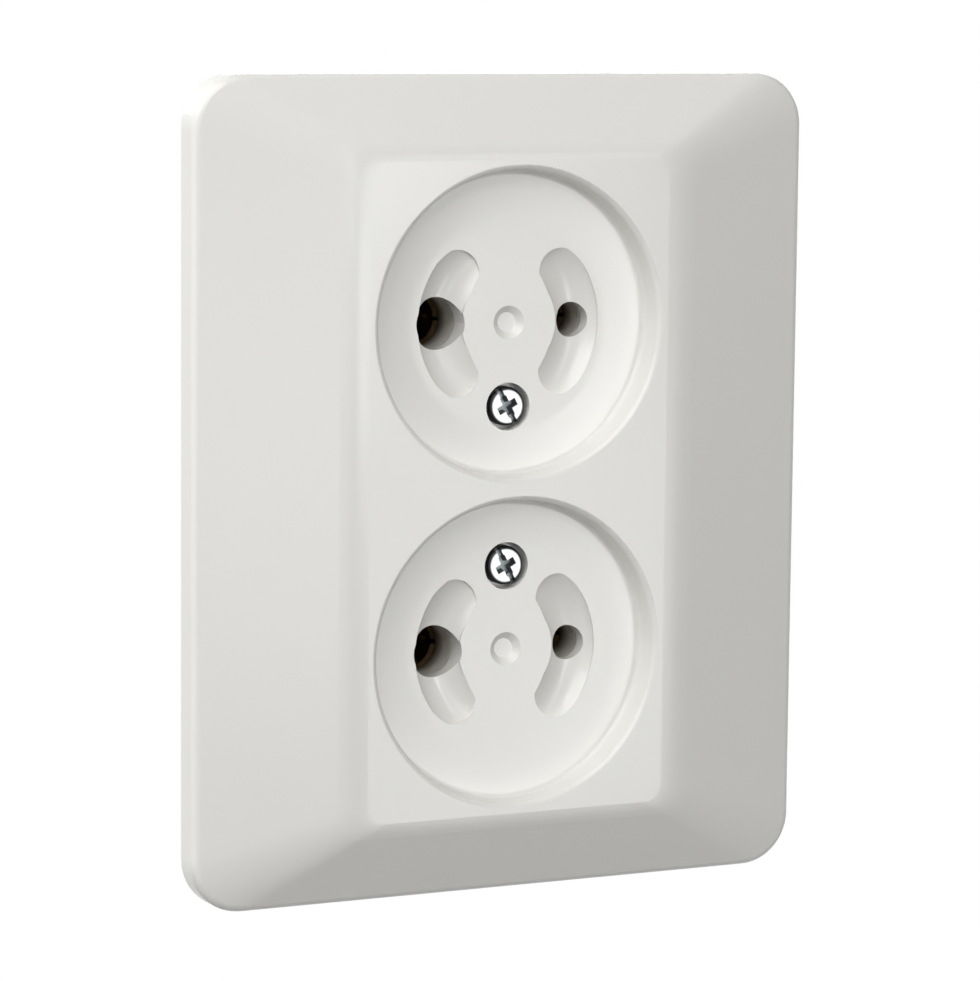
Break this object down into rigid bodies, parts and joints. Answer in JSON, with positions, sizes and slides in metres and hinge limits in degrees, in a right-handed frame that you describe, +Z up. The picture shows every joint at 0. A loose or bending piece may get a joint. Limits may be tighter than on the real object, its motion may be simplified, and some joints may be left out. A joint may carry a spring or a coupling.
{
  "type": "double extra-low-voltage wall socket",
  "caption": "Flush wall socket with round plug cups one above the other, a thick and a thin pin hole in curved guide grooves in each, screwed to a contact base on a strap.",
  "frame": {"origin": "midway between the two box screws, in the wall plane that the cover's rim rests on", "axes": "-Y to the room, +X to the right seen from the room, +Z up"},
  "size_m": [0.085, 0.0285, 0.1046],
  "materials": {
    "cover_plastic": "satin",
    "screw_zinc": "zinc plated",
    "strap_steel": "galvanised",
    "rivet_steel": "bright",
    "base_plastic": "matt",
    "plate_plastic": "matt",
    "contact_brass": "turned",
    "spring_steel": "blued",
    "clamp_steel": "zinc plated"
  },
  "bodies": {
    "socket": {"cover_plate": "cover_plastic", "cover_screws": "screw_zinc", "mounting_strap": "strap_steel", "strap_rivets": "rivet_steel", "contact_base": "base_plastic", "front_plate": "plate_plastic", "front_screws": "screw_zinc", "thread_inserts": "contact_brass", "thick_bar": "contact_brass", "thin_bar": "contact_brass", "thick_sleeve_up": "contact_brass", "thick_spring_up": "spring_steel", "thick_sleeve_low": "contact_brass", "thick_spring_low": "spring_steel", "thin_sleeve_up": "contact_brass", "thin_spring_up": "spring_steel", "thin_sleeve_low": "contact_brass", "thin_spring_low": "spring_steel"},
    "thick_clamp_up": {"thick_clamp_up": "clamp_steel"},
    "thick_screw_up": {"thick_screw_up": "screw_zinc"},
    "thick_clamp_low": {"thick_clamp_low": "clamp_steel"},
    "thick_screw_low": {"thick_screw_low": "screw_zinc"},
    "thin_clamp_up": {"thin_clamp_up": "clamp_steel"},
    "thin_screw_up": {"thin_screw_up": "screw_zinc"},
    "thin_clamp_low": {"thin_clamp_low": "clamp_steel"},
    "thin_screw_low": {"thin_screw_low": "screw_zinc"}
  },
  "joints": [
    {"name": "thick_clamp_up_lift", "type": "slide", "parent": "socket", "child": "thick_clamp_up", "axis": [0, -1, 0], "range_m": [0, 0.0024]},
    {"name": "thick_screw_up_turn", "type": "hinge", "parent": "thick_clamp_up", "child": "thick_screw_up", "pos_m": [-0.0116, 0.0056, 0.0064], "axis": [0, -1, 0], "range_deg": [0, 1440]},
    {"name": "thick_clamp_low_lift", "type": "slide", "parent": "socket", "child": "thick_clamp_low", "axis": [0, -1, 0], "range_m": [0, 0.0024]},
    {"name": "thick_screw_low_turn", "type": "hinge", "parent": "thick_clamp_low", "child": "thick_screw_low", "pos_m": [-0.0116, 0.0056, -0.0064], "axis": [0, -1, 0], "range_deg": [0, 1440]},
    {"name": "thin_clamp_up_lift", "type": "slide", "parent": "socket", "child": "thin_clamp_up", "axis": [0, -1, 0], "range_m": [0, 0.0024]},
    {"name": "thin_screw_up_turn", "type": "hinge", "parent": "thin_clamp_up", "child": "thin_screw_up", "pos_m": [0.0116, 0.0056, 0.0064], "axis": [0, -1, 0], "range_deg": [0, 1440]},
    {"name": "thin_clamp_low_lift", "type": "slide", "parent": "socket", "child": "thin_clamp_low", "axis": [0, -1, 0], "range_m": [0, 0.0024]},
    {"name": "thin_screw_low_turn", "type": "hinge", "parent": "thin_clamp_low", "child": "thin_screw_low", "pos_m": [0.0116, 0.0056, -0.0064], "axis": [0, -1, 0], "range_deg": [0, 1440]}
  ],
  "couplings": [
    {"joint": "thick_screw_up_turn", "follows": "thick_clamp_up_lift", "rad_per_m": 10472},
    {"joint": "thick_screw_low_turn", "follows": "thick_clamp_low_lift", "rad_per_m": 10472},
    {"joint": "thin_screw_up_turn", "follows": "thin_clamp_up_lift", "rad_per_m": 10472},
    {"joint": "thin_screw_low_turn", "follows": "thin_clamp_low_lift", "rad_per_m": 10472}
  ]
}
